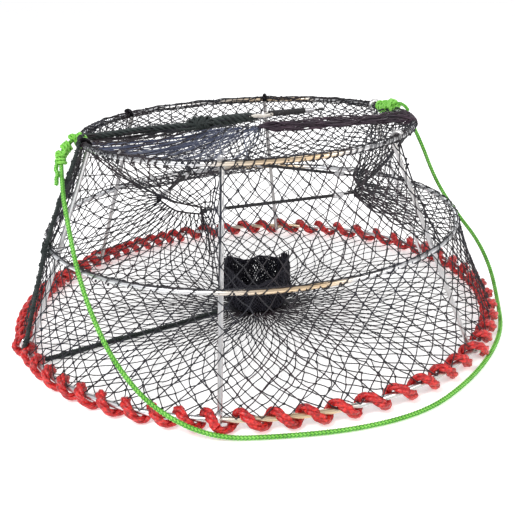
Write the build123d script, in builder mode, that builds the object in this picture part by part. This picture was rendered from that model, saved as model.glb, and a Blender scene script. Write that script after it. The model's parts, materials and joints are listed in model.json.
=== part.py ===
from build123d import *
from math import asin, atan2, cos, degrees, pi, radians, sin, sqrt, tan
import os

# ---- rings, millimetres; azimuth 0 is +X and 270 faces the front ----
base_ring_r = 381.0
middle_ring_r = 325.0
top_ring_r = 256.0
base_rod_r = 4.0
hoop_rod_r = 3.5
wrap_rope_d = 12.0
base_z = base_rod_r + wrap_rope_d
middle_z = base_z + 146.0
top_z = base_z + 292.0
fit_gap = 0.1

# ---- struts: an eye round the base ring, a shank, a hook over the top ring ----
strut_azimuths = (262.0, 324.0, 30.0, 82.0, 144.0, 202.0)
strut_rod_r = 3.5
strut_loop_r = 8.0
hook_past_top = 45.0
strut_slot = 10.0

# ---- netting shells ----
net_t = 1.5
bottom_net_r = 366.0
lower_net_foot = (393.0, base_z + 14.0)
lower_net_head = (331.5, middle_z - 1.0)
upper_net_foot = (331.5, middle_z + 4.0)
upper_net_head = (265.3, top_z - 9.0)
top_net_r = 243.0
top_net_z = top_z - 3.0

# ---- entrance tunnels and the elastic cords between them ----
tunnel_azimuths = (234.0, 357.0, 113.0)
mouth_azimuths = (220.0, 352.0, 113.0)
mouth_radii = (148.0, 176.0, 150.0)
tunnel_half_angle = 24.0
mouth_z = base_z + 195.0
mouth_w = 100.0
mouth_h = 16.0
tunnel_t = 1.2
anchor_step = 9.0
elastic_r = 3.0
coil_r = 4.5
coil_l = 17.0
hook_wire_r = 1.75
hook_bend_r = 4.5
hook_leg = 9.0
coil_from = 2 * hook_bend_r + hook_leg
elastic_from = coil_from + coil_l

# ---- bait bag ----
bag_x = 3.0
bag_y = -14.0
bag_l = 106.0
bag_w = 84.0
bag_h = 90.0
bag_saddle_r = 34.0

# ---- seam rope and top closure ----
seam_r = 3.0
closure_rope_r = 3.5
knot_r = 13.0

# ---- bridle rope: azimuth, radius and height of each route point ----
bridle_r = 3.5
bridle_floor_z = bridle_r + 0.2
bridle_route = (
    (198.0, 288.0, top_z - 12.0),
    (207.0, 306.0, top_z - 50.0),
    (217.0, 324.0, top_z - 90.0),
    (226.0, 345.0, base_z + 156.0),
    (234.5, 369.0, base_z + 110.0),
    (242.5, 393.0, base_z + 66.0),
    (251.0, 408.5, base_z + 22.0),
    (261.5, 411.0, bridle_floor_z),
    (274.0, 409.0, bridle_floor_z),
    (287.0, 415.0, bridle_floor_z),
    (300.0, 421.0, bridle_floor_z),
    (313.0, 412.0, bridle_floor_z),
    (326.0, 405.5, bridle_floor_z),
    (339.0, 405.5, bridle_floor_z),
    (351.0, 407.0, bridle_floor_z + 3.0),
    (361.0, 410.0, base_z + 24.0),
    (368.0, 402.0, base_z + 62.0),
    (373.0, 378.0, base_z + 102.0),
    (376.0, 355.0, base_z + 144.0),
    (376.5, 332.0, base_z + 188.0),
    (375.0, 310.0, base_z + 230.0),
    (377.0, 292.0, base_z + 268.0),
)


def ring_point(azimuth, radius, z):
    a = radians(azimuth)
    return Vector(radius * cos(a), radius * sin(a), z)


def radial_plane(azimuth, radius, z):
    """Local x runs outward, local y upward, local z along the ring."""
    a = radians(azimuth)
    return Plane(origin=ring_point(azimuth, radius, z), x_dir=(cos(a), sin(a), 0), z_dir=(sin(a), -cos(a), 0))


def line_plane(start, end):
    return Plane(origin=start, z_dir=end - start)


def save(builder, node):
    builder.part.label = node
    export_step(builder.part, f"parts/{node}.step")


def make_ring(node, radius, rod_r, z):
    with BuildPart(Plane.XY.offset(z)) as ring:
        Torus(radius, rod_r)
    save(ring, node)


def make_frustum(node, foot, head):
    with BuildPart() as net:
        with BuildSketch(Plane.XZ):
            with BuildLine():
                Polyline(foot, head, (head[0] + net_t, head[1]), (foot[0] + net_t, foot[1]), close=True)
            make_face()
        revolve(axis=Axis.Z)
    return net


def frustum_r(foot, head, z):
    return foot[0] + (head[0] - foot[0]) * (z - foot[1]) / (head[1] - foot[1])


os.makedirs("parts", exist_ok=True)

# ---- the three hoops ----
make_ring("base_ring", base_ring_r, base_rod_r, base_z)
make_ring("middle_ring", middle_ring_r, hoop_rod_r, middle_z)
make_ring("top_ring", top_ring_r, hoop_rod_r, top_z)

# ---- rope wound on the base ring, one sleeve between each pair of strut eyes ----
sleeve_r = base_rod_r + wrap_rope_d
with BuildPart() as rope_wrap:
    with Locations(Plane.XY.offset(base_z)):
        Torus(base_ring_r, sleeve_r)
        Torus(base_ring_r, base_rod_r + fit_gap, mode=Mode.SUBTRACT)
    for azimuth in strut_azimuths:
        with Locations(radial_plane(azimuth, base_ring_r, base_z)):
            Box(4 * sleeve_r, 4 * sleeve_r, strut_slot, mode=Mode.SUBTRACT)
save(rope_wrap, "base_rope_wrap")

# ---- struts ----
rise = top_z - base_z
reach = base_ring_r - top_ring_r
strut_span = sqrt(rise ** 2 + reach ** 2)
strut_lean = degrees(atan2(rise, reach))
side_x = -sin(radians(strut_lean))
side_y = -cos(radians(strut_lean))
for index, azimuth in enumerate(strut_azimuths):
    plane = radial_plane(azimuth, base_ring_r, base_z)
    foot = (strut_loop_r * side_x, strut_loop_r * side_y)
    head = (foot[0] - reach, foot[1] + rise)
    with BuildPart(plane) as strut:
        Torus(strut_loop_r, strut_rod_r)
        with BuildLine(plane) as axis_line:
            Line(foot, head)
            CenterArc((-reach, rise), strut_loop_r, 270 - strut_lean, -(180 - strut_lean + hook_past_top))
        with BuildSketch(Plane(origin=axis_line.line @ 0, z_dir=axis_line.line % 0)):
            Circle(strut_rod_r)
        sweep(path=axis_line.line)
    save(strut, f"strut_{index + 1}")

# ---- netting: floor, lower wall and top ----
with BuildPart() as bottom_net:
    Cylinder(bottom_net_r, net_t, align=(Align.CENTER, Align.CENTER, Align.MIN))
save(bottom_net, "bottom_net")

save(make_frustum("lower_net", lower_net_foot, lower_net_head), "lower_net")

with BuildPart(Plane.XY.offset(top_net_z)) as top_net:
    Cylinder(top_net_r, net_t, align=(Align.CENTER, Align.CENTER, Align.MIN))
save(top_net, "top_net")

# ---- upper wall: the panels between the tunnels ----
upper_net = make_frustum("upper_net", upper_net_foot, upper_net_head)
panel_cut_w = 2 * 300.0 * tan(radians(tunnel_half_angle + 1.5))
with upper_net:
    for azimuth in tunnel_azimuths:
        with Locations(radial_plane(azimuth, 300.0, middle_z + 70.0)):
            Box(160, 200, panel_cut_w, mode=Mode.SUBTRACT)
save(upper_net, "upper_net")

# ---- tunnels: a wide rim on the wall narrowing to a flat slot ----
half = radians(tunnel_half_angle)
rim_low_z = middle_z + 6.0
rim_high_z = top_z - 11.0
rim_low_r = frustum_r(upper_net_foot, upper_net_head, rim_low_z)
rim_high_r = frustum_r(upper_net_foot, upper_net_head, rim_high_z)


def rim_corners(azimuth, inset):
    corners = []
    for radius, z, rise_in in ((rim_low_r, rim_low_z, inset), (rim_high_r, rim_high_z, -inset)):
        out = radius * cos(half)
        side = radius * sin(half) - inset
        corners.append((out, side, z + rise_in))
    (low_out, low_side, low_z), (high_out, high_side, high_z) = corners
    local = ((low_out, -low_side, low_z), (low_out, low_side, low_z))
    local += ((high_out, high_side, high_z), (high_out, -high_side, high_z))
    turn = Plane.XY.rotated((0, 0, azimuth))
    return [turn.from_local_coords(Vector(*p)) for p in local]


def mouth_corners(azimuth, radius, inset):
    w = mouth_w / 2 - inset
    low = mouth_z - mouth_h / 2 + inset
    high = mouth_z + mouth_h / 2 - inset
    local = ((radius, -w, low), (radius, w, low), (radius, w, high), (radius, -w, high))
    turn = Plane.XY.rotated((0, 0, azimuth))
    return [turn.from_local_coords(Vector(*p)) for p in local]


def funnel(rim, mouth):
    with BuildPart(mode=Mode.PRIVATE) as solid:
        for corners in (rim, mouth):
            normal = (corners[1] - corners[0]).cross(corners[3] - corners[0])
            plane = Plane(origin=corners[0], x_dir=corners[1] - corners[0], z_dir=normal)
            with BuildSketch(plane):
                with BuildLine():
                    flat = [plane.to_local_coords(p) for p in corners]
                    Polyline(*[(p.X, p.Y) for p in flat], close=True)
                make_face()
        loft(ruled=True)
    return solid.part


for index in range(3):
    at_wall = tunnel_azimuths[index]
    at_mouth = (mouth_azimuths[index], mouth_radii[index])
    outer = funnel(rim_corners(at_wall, 0), mouth_corners(*at_mouth, 0))
    inner = funnel(rim_corners(at_wall, tunnel_t), mouth_corners(*at_mouth, tunnel_t))
    with BuildPart() as tunnel:
        add(outer)
        add(inner, mode=Mode.SUBTRACT)
    save(tunnel, f"tunnel_net_{index + 1}")

# ---- elastic cords joining each tunnel mouth to the next, a hook at each end ----
def mouth_anchor(index, side):
    turn = Plane.XY.rotated((0, 0, mouth_azimuths[index]))
    return turn.from_local_coords(Vector(mouth_radii[index] - anchor_step, side * (mouth_w / 2 + 2), mouth_z))


def add_hook(start, toward):
    """A wire hook whose open end is at start and whose leg runs toward the cord."""
    plane = Plane(origin=start, x_dir=toward - start, z_dir=(0, 0, 1))
    with BuildLine(plane) as wire:
        CenterArc((hook_bend_r, -hook_bend_r), hook_bend_r, 300, -210)
        Line((hook_bend_r, 0), (coil_from - fit_gap, 0))
    with BuildSketch(Plane(origin=wire.line @ 0, z_dir=wire.line % 0)) as section:
        Circle(hook_wire_r)
    sweep(sections=section.sketch, path=wire.line)


def add_coil(start, toward, gap):
    line = line_plane(start, toward)
    along = line.z_dir
    with Locations(Plane(origin=start + along * gap, z_dir=along)):
        Cylinder(coil_r, coil_l, align=(Align.CENTER, Align.CENTER, Align.MIN))


elastic_ends = []
for index in range(3):
    elastic_ends.append((mouth_anchor(index, 1), mouth_anchor((index + 1) % 3, -1)))

for index, (start, end) in enumerate(elastic_ends):
    along = (end - start).normalized()
    first = start + along * (elastic_from + fit_gap)
    last = end - along * (elastic_from + fit_gap)
    with BuildPart(line_plane(first, last)) as elastic:
        Cylinder(elastic_r, (last - first).length, align=(Align.CENTER, Align.CENTER, Align.MIN))
    save(elastic, f"tunnel_elastic_{index + 1}")

with BuildPart() as elastic_coils:
    for start, end in elastic_ends:
        add_coil(start, end, coil_from)
        add_coil(end, start, coil_from)
save(elastic_coils, "tunnel_elastic_coils")

with BuildPart() as elastic_hooks:
    for start, end in elastic_ends:
        add_hook(start, end)
        add_hook(end, start)
save(elastic_hooks, "tunnel_elastic_hooks")

# ---- bait bag: a limp pouch standing on the floor netting, two peaked corners ----
bag_floor = net_t + fit_gap
bag_top = bag_floor + bag_h
with BuildPart() as bait_bag:
    for z, length, width in ((bag_floor, 0.84, 0.88), (bag_floor + 24, 1.0, 1.0), (bag_top, 0.92, 0.26)):
        with BuildSketch(Plane.XY.offset(z)):
            with Locations((bag_x, bag_y)):
                Ellipse(bag_l * length / 2, bag_w * width / 2)
    loft()
    with BuildSketch(Plane.XZ.offset(-bag_y)):
        with Locations((bag_x, bag_top + bag_saddle_r / 2)):
            Circle(bag_saddle_r)
    extrude(amount=bag_w, both=True, mode=Mode.SUBTRACT)
save(bait_bag, "bait_bag")

# ---- seam rope: across the floor, up the side and over the top ----
def add_rod(start, end, radius):
    with Locations(line_plane(start, end)):
        Cylinder(radius, (end - start).length, align=(Align.CENTER, Align.CENTER, Align.MIN))


seam_floor_z = net_t + fit_gap + seam_r
with BuildPart() as seam_bottom:
    add_rod(ring_point(208.8, 362.0, seam_floor_z), ring_point(208.8, 66.0, seam_floor_z), seam_r)
save(seam_bottom, "seam_rope_bottom")

seam_out = net_t + seam_r + 2.4
with BuildPart() as seam_lower:
    add_rod(
        ring_point(206.5, lower_net_foot[0] + seam_out, lower_net_foot[1] + 1),
        ring_point(203.5, lower_net_head[0] + seam_out, lower_net_head[1]),
        seam_r,
    )
save(seam_lower, "seam_rope_lower")

with BuildPart() as seam_upper:
    add_rod(
        ring_point(203.5, upper_net_foot[0] + seam_out, upper_net_foot[1]),
        ring_point(204.5, upper_net_head[0] + seam_out, upper_net_head[1]),
        seam_r,
    )
save(seam_upper, "seam_rope_upper")

closure_z = top_net_z + net_t + fit_gap + closure_rope_r
knot_at = Vector(-72, 6, closure_z)
with BuildPart() as closure_rope:
    add_rod(Vector(-236, -46, closure_z), Vector(-170, -14, closure_z), closure_rope_r)
    with Locations((-170, -14, closure_z)):
        Sphere(closure_rope_r)
    add_rod(Vector(-170, -14, closure_z), knot_at, closure_rope_r)
    add_rod(knot_at, Vector(24, 64, closure_z), closure_rope_r)
    with Locations(knot_at):
        Sphere(knot_r + fit_gap, mode=Mode.SUBTRACT)
save(closure_rope, "closure_rope")

with BuildPart() as closure_knot:
    with Locations(knot_at):
        Sphere(knot_r)
    with Locations((0, 0, top_net_z + net_t + fit_gap)):
        Box(600, 600, 60, align=(Align.CENTER, Align.CENTER, Align.MAX), mode=Mode.SUBTRACT)
save(closure_knot, "closure_knot")

band_r = 5.0
band_z = top_net_z + net_t + fit_gap + band_r
with BuildPart() as closure_band:
    add_rod(Vector(26, -30, band_z), Vector(160, -24, band_z), band_r)
    with Locations((160, -24, band_z)):
        Sphere(band_r)
    add_rod(Vector(160, -24, band_z), Vector(238, -8, band_z), band_r)
save(closure_band, "closure_band")

# ---- closure elastic on top ----
closure_start = Vector(32, 76, top_net_z + net_t + fit_gap + coil_r)
closure_end = Vector(132, 96, closure_start.Z)
closure_along = (closure_end - closure_start).normalized()
with BuildPart() as closure_elastic:
    add_rod(
        closure_start + closure_along * (elastic_from + fit_gap),
        closure_end - closure_along * (elastic_from + fit_gap),
        elastic_r,
    )
save(closure_elastic, "closure_elastic")

with BuildPart() as closure_coils:
    add_coil(closure_start, closure_end, coil_from)
    add_coil(closure_end, closure_start, coil_from)
save(closure_coils, "closure_elastic_coils")

with BuildPart() as closure_hooks:
    add_hook(closure_start, closure_end)
    add_hook(closure_end, closure_start)
save(closure_hooks, "closure_elastic_hooks")

# ---- bridle rope and the knots that tie it to the top ring ----
route = [ring_point(*point) for point in bridle_route]
route_turns = []
for before, here, after in zip(route, route[1:], route[2:]):
    route_turns.append((here - before).get_angle(after - here))
route_radii = []
for index, turn in enumerate(route_turns):
    shorter = min((route[index + 1] - route[index]).length, (route[index + 2] - route[index + 1]).length)
    route_radii.append(0.45 * shorter / tan(radians(turn) / 2))
with BuildPart() as bridle_rope:
    with BuildLine() as bridle_line:
        FilletPolyline(*route, radius=route_radii)
    with BuildSketch(Plane(origin=bridle_line.line @ 0, z_dir=bridle_line.line % 0)):
        Circle(bridle_r)
    sweep(path=bridle_line.line)
save(bridle_rope, "bridle_rope")
print("bridle radii", [round(r) for r in route_radii])
print("bridle runs", [round((b - a).length) for a, b in zip(route, route[1:])])
bridle_length = bridle_line.wire().length
print("bridle length", round(bridle_length, 1))
print("bridle volume", round(bridle_rope.part.volume), "section x length", round(pi * bridle_r ** 2 * bridle_length))

bridle_knot_r = 9.2
with BuildPart() as bridle_knots:
    for azimuth in (196.0, 379.0):
        with Locations(ring_point(azimuth, top_ring_r + 12, top_z + 5)):
            Sphere(bridle_knot_r)
save(bridle_knots, "bridle_knots")
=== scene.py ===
import json
from itertools import combinations
from math import cos, pi, radians, sin, sqrt

import bpy
import numpy as np
from mathutils import Matrix, Vector

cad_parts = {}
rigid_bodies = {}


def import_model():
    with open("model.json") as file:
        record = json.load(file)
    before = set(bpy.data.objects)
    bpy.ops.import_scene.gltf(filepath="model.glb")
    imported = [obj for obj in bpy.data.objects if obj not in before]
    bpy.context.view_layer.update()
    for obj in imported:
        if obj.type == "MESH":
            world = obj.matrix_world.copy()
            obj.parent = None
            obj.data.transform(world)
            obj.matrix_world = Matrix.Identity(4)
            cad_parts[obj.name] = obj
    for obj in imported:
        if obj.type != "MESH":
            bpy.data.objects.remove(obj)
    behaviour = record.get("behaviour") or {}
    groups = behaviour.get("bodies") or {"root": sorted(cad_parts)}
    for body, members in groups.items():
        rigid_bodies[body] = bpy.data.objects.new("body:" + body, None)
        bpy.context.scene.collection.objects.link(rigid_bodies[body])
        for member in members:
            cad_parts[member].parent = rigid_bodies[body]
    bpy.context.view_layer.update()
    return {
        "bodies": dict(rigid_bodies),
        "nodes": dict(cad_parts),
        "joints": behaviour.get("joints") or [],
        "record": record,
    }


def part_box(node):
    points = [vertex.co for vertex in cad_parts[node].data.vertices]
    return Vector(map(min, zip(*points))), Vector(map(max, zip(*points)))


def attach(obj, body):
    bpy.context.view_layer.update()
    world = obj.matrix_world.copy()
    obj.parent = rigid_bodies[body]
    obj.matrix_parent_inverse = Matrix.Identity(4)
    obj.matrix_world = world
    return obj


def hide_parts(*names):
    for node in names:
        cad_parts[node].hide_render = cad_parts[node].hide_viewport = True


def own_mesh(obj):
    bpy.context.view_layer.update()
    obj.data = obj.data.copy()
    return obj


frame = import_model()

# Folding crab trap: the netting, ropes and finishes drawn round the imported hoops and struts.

rng = np.random.default_rng(7)


# ---- sizes read from the frame
def hoop(node, rod_r):
    """Centre-line radius and height of a hoop."""
    low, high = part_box(node)
    return (high[0] - low[0]) / 2 - rod_r, (high[2] + low[2]) / 2


BASE_ROD = 0.004
HOOP_ROD = 0.0035
BASE_R, BASE_Z = hoop("base_ring", BASE_ROD)
MID_R, MID_Z = hoop("middle_ring", HOOP_ROD)
TOP_R, TOP_Z = hoop("top_ring", HOOP_ROD)
STRUTS = (262.0, 324.0, 390.0, 442.0, 504.0, 562.0)
FLOOR_NET_Z = 0.0015
TOP_NET_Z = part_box("top_net")[1][2]
MOUTH_AZIMUTHS = (220.0, 352.0, 113.0)
MOUTH_RADII = (0.148, 0.176, 0.150)
MOUTH_W = 0.104
MOUTH_H = 0.010
MOUTH_Z = BASE_Z + 0.195
TUNNEL_BAYS = ((202.0, 262.0), (324.0, 390.0), (82.0, 144.0))
PANEL_BAYS = ((262.0, 324.0), (30.0, 82.0), (144.0, 202.0))
COLUMNS = 76
TWINE_R = 0.00081
KNOT_R = 0.0017
LOWEST = 0.0003          # nothing drawn as a tube or knot goes below this height


UP = np.array([0, 0, 1.0])


def polar(azimuth, radius, z):
    a = np.radians(azimuth)
    return np.stack(np.broadcast_arrays(radius * np.cos(a), radius * np.sin(a), z), -1).astype(float)


# ---- materials
def node_material(name, colour, roughness, metallic=0.0, **inputs):
    mat = bpy.data.materials.new(name)
    mat.use_nodes = True
    shader = mat.node_tree.nodes["Principled BSDF"]
    shader.inputs["Base Color"].default_value = (*colour, 1)
    shader.inputs["Roughness"].default_value = roughness
    shader.inputs["Metallic"].default_value = metallic
    for key, value in inputs.items():
        shader.inputs[key.replace("_", " ")].default_value = value
    return mat, mat.node_tree, shader


def add_noise(tree, scale, detail):
    coords = tree.nodes.new("ShaderNodeTexCoord")
    noise = tree.nodes.new("ShaderNodeTexNoise")
    noise.inputs["Scale"].default_value = scale
    noise.inputs["Detail"].default_value = detail
    tree.links.new(coords.outputs["Object"], noise.inputs["Vector"])
    return noise


def colour_ramp(tree, stops):
    ramp = tree.nodes.new("ShaderNodeValToRGB")
    first, last = ramp.color_ramp.elements
    first.position, last.position = stops[0][0], stops[-1][0]
    first.color, last.color = (*stops[0][1], 1), (*stops[-1][1], 1)
    for place, colour in stops[1:-1]:
        ramp.color_ramp.elements.new(place).color = (*colour, 1)
    return ramp


def mix_colours(tree, shader, noise, stops):
    ramp = colour_ramp(tree, stops)
    tree.links.new(noise.outputs["Fac"], ramp.inputs["Fac"])
    tree.links.new(ramp.outputs["Color"], shader.inputs["Base Color"])
    return ramp


def share_along(tree, axis, low, high):
    """How far the surface lies between two places on an axis of the object, from 0 to 1."""
    place = tree.nodes.new("ShaderNodeTexCoord")
    split = tree.nodes.new("ShaderNodeSeparateXYZ")
    share = tree.nodes.new("ShaderNodeMapRange")
    share.inputs["From Min"].default_value, share.inputs["From Max"].default_value = low, high
    tree.links.new(place.outputs["Object"], split.inputs[0])
    tree.links.new(split.outputs[axis], share.inputs["Value"])
    return share.outputs[0]


def add_grain(tree, shader, noise, low, high, strength, distance):
    """Roughness between low and high, and bumps, from the same noise."""
    spread = tree.nodes.new("ShaderNodeMapRange")
    spread.inputs["To Min"].default_value = low
    spread.inputs["To Max"].default_value = high
    tree.links.new(noise.outputs["Fac"], spread.inputs["Value"])
    tree.links.new(spread.outputs["Result"], shader.inputs["Roughness"])
    bump = tree.nodes.new("ShaderNodeBump")
    bump.inputs["Strength"].default_value = strength
    bump.inputs["Distance"].default_value = distance
    tree.links.new(noise.outputs["Fac"], bump.inputs["Height"])
    tree.links.new(bump.outputs["Normal"], shader.inputs["Normal"])


HALF_WIDTH = 0.4
# Share of the noise patches, partly random stains and partly painted reflection, added to the painted highlight
# curve over x.
STAIN_AND_GLINT_SHARE = 0.45
TWINE_DARK = (0.012, 0.011, 0.013)


def steel_material(name, stops, painted_glint=(), dark_above=None):
    """Satin steel whose noise patches are partly random stains and partly painted reflection; the curve given
    over x paints highlights and reflections by saying how far along the stops the colour is at each x, and the
    steel can be dark above a height.
    """
    mat, tree, shader = node_material(name, stops[0][1], 0.3, 1.0)
    stain_and_glint = add_noise(tree, 9.0, 4.0)
    ramp = mix_colours(tree, shader, stain_and_glint, stops)
    # Painted highlight and reflection: the colour follows x along the hoops and stands in for where light falls
    # on them.
    if painted_glint:
        curve = colour_ramp(tree, [((x + HALF_WIDTH) / (2 * HALF_WIDTH), (level,) * 3) for x, level in painted_glint])
        both = tree.nodes.new("ShaderNodeMath")
        both.operation = "MULTIPLY_ADD"
        both.inputs[1].default_value = STAIN_AND_GLINT_SHARE
        tree.links.new(share_along(tree, "X", -HALF_WIDTH, HALF_WIDTH), curve.inputs[0])
        tree.links.new(stain_and_glint.outputs["Fac"], both.inputs[0])
        tree.links.new(curve.outputs[0], both.inputs[2])
        tree.links.new(both.outputs[0], ramp.inputs[0])
    if dark_above:
        cover = tree.nodes.new("ShaderNodeMix")
        cover.data_type = "RGBA"
        cover.inputs[7].default_value = (*TWINE_DARK, 1)
        tree.links.new(share_along(tree, "Z", dark_above, dark_above + 0.003), cover.inputs[0])
        tree.links.new(ramp.outputs["Color"], cover.inputs[6])
        tree.links.new(cover.outputs[2], shader.inputs["Base Color"])
    add_grain(tree, shader, add_noise(tree, 900.0, 2.0), 0.22, 0.42, 0.12, 0.0002)
    return mat


def fibre_material(name, stops, roughness, sheen=0.0, fibre=1400.0, patch=60.0, bump=0.5, coat=0.0,
                   depth=0.0004):
    """Twine, rope or rubber in patchy colours, with fine fibres."""
    mat, tree, shader = node_material(name, stops[0][1], roughness, Sheen_Weight=sheen, Coat_Weight=coat,
                                      Coat_Roughness=0.35)
    mix_colours(tree, shader, add_noise(tree, patch, 5.0), stops)
    rough_to = min(1.0, roughness + 0.15)
    add_grain(tree, shader, add_noise(tree, fibre, 2.0), roughness - 0.12, rough_to, bump, depth)
    return mat


# Hoop colours: the cool bright gleam and the golden tone are painted reflection and highlight. The x curve
# below places them along the hoops, mixed with random tone.
HOOP_STOPS = [(0.20, (0.84, 0.86, 0.89)), (0.38, (0.62, 0.62, 0.63)), (0.55, (0.72, 0.64, 0.54)),
              (0.85, (0.74, 0.56, 0.36))]
HOOP_PAINTED_GLINT = [(-0.40, 0.16), (-0.30, 0.02), (-0.10, 0.05), (-0.05, 0.24), (0.01, 0.52), (0.085, 0.62),
               (0.13, 0.12), (0.40, 0.10)]
STRUT_STOPS = [(0.3, (0.84, 0.85, 0.87)), (0.6, (0.74, 0.73, 0.73)), (0.75, (0.58, 0.56, 0.54))]
# Painted shade: a darker copy of the strut colours for the far struts, which stand in shade behind the netting.
SHADED_STRUT_STOPS = [(0.3, (0.50, 0.50, 0.52)), (0.6, (0.44, 0.43, 0.42)), (0.75, (0.36, 0.34, 0.32))]
STEEL = steel_material("satin_steel_hoop", HOOP_STOPS, HOOP_PAINTED_GLINT)
STRUT_STEEL = steel_material("satin_steel_strut", STRUT_STOPS)
FAR_STEEL = steel_material("satin_steel_strut_painted_shade", SHADED_STRUT_STOPS, dark_above=TOP_Z - 0.004)
LASHED_STEEL = steel_material("satin_steel_strut_lashed", STRUT_STOPS, dark_above=TOP_Z - 0.006)
TWINE = fibre_material("net_twine_black", [(0.3, (0.004, 0.006, 0.020)), (0.5, (0.006, 0.006, 0.010)),
                                           (0.7, (0.020, 0.008, 0.014))], 0.55, patch=9.0)
BLUE_TWINE = fibre_material("net_twine_navy", [(0.3, (0.020, 0.030, 0.080)), (0.5, (0.055, 0.070, 0.130)),
                                               (0.7, (0.14, 0.16, 0.22))], 0.45, patch=30.0)
PURPLE_TWINE = fibre_material("net_twine_purple", [(0.3, (0.012, 0.007, 0.016)), (0.5, (0.030, 0.014, 0.028)),
                                                   (0.7, (0.060, 0.030, 0.050))], 0.5, patch=40.0)
BAG_TWINE = fibre_material("bait_mesh_black", [(0.3, (0.004, 0.005, 0.014)), (0.7, (0.012, 0.010, 0.020))], 0.6)
BAG_CLOTH = fibre_material("bait_cloth_black", [(0.3, (0.003, 0.004, 0.010)), (0.7, (0.010, 0.009, 0.016))],
                           0.75, fibre=700.0)
SEAM = fibre_material("seam_rope_dark", [(0.3, (0.006, 0.012, 0.012)), (0.7, (0.020, 0.032, 0.030))], 0.6, 0.05)
RED = fibre_material("red_rope", [(0.34, (0.25, 0.001, 0.002)), (0.5, (0.52, 0.004, 0.007)),
                                  (0.64, (0.80, 0.030, 0.024))],
                     0.34, fibre=420.0, patch=240.0, bump=1.0, coat=0.25, depth=0.0014)
GREEN = fibre_material("bridle_lime", [(0.3, (0.16, 0.53, 0.040)), (0.7, (0.29, 0.72, 0.13))], 0.45)
# Painted shade: the bridle strands winding one way, and its core, are a darker green that stands in for the
# shade in the creases between strands.
GREEN_PAINTED_SHADE = fibre_material("bridle_strand_painted_shade", [(0.3, (0.028, 0.20, 0.012)), (0.7, (0.07, 0.34, 0.028))],
                            0.5)
ELASTIC = fibre_material("elastic_cover_black", [(0.3, (0.008, 0.008, 0.009)), (0.7, (0.020, 0.020, 0.023))],
                         0.55)
PALE = fibre_material("pale_hook_plastic", [(0.3, (0.62, 0.58, 0.52)), (0.7, (0.78, 0.75, 0.70))], 0.35,
                      fibre=500.0, bump=0.08)
WIRE = steel_material("bright_wire", [(0.3, (0.85, 0.85, 0.86)), (0.7, (0.62, 0.62, 0.64))])
VINYL = fibre_material("dipped_vinyl", [(0.3, (0.008, 0.008, 0.009)), (0.7, (0.016, 0.016, 0.018))], 0.32,
                       fibre=300.0, bump=0.1)


# ---- mesh helpers
def unit(vectors):
    return vectors / (np.linalg.norm(vectors, axis=-1, keepdims=True) + 1e-12)


def distance_run(path):
    return np.concatenate([[0], np.cumsum(np.linalg.norm(np.diff(path, axis=0), axis=1))])


def circle(sides):
    return np.arange(sides) * 2 * pi / sides


def hump(t):
    """0 at both ends and 1 in the middle."""
    return 4 * t * (1 - t)


def circles_round(side, up, sides):
    """Points of a unit circle in the plane of each side and up vector."""
    angle = circle(sides)[:, None]
    return side[..., None, :] * np.cos(angle) + up[..., None, :] * np.sin(angle)


def skin(rings, around, closed=False):
    """Faces between each ring of corners and the next, as corner numbers."""
    j, q = np.meshgrid(np.arange(rings if closed else rings - 1), np.arange(around), indexing="ij")
    t, after = (q + 1) % around, (j + 1) % rings
    corners = [j * around + q, j * around + t, after * around + t, after * around + q]
    return np.stack(corners, -1).reshape(-1, 4)


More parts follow.
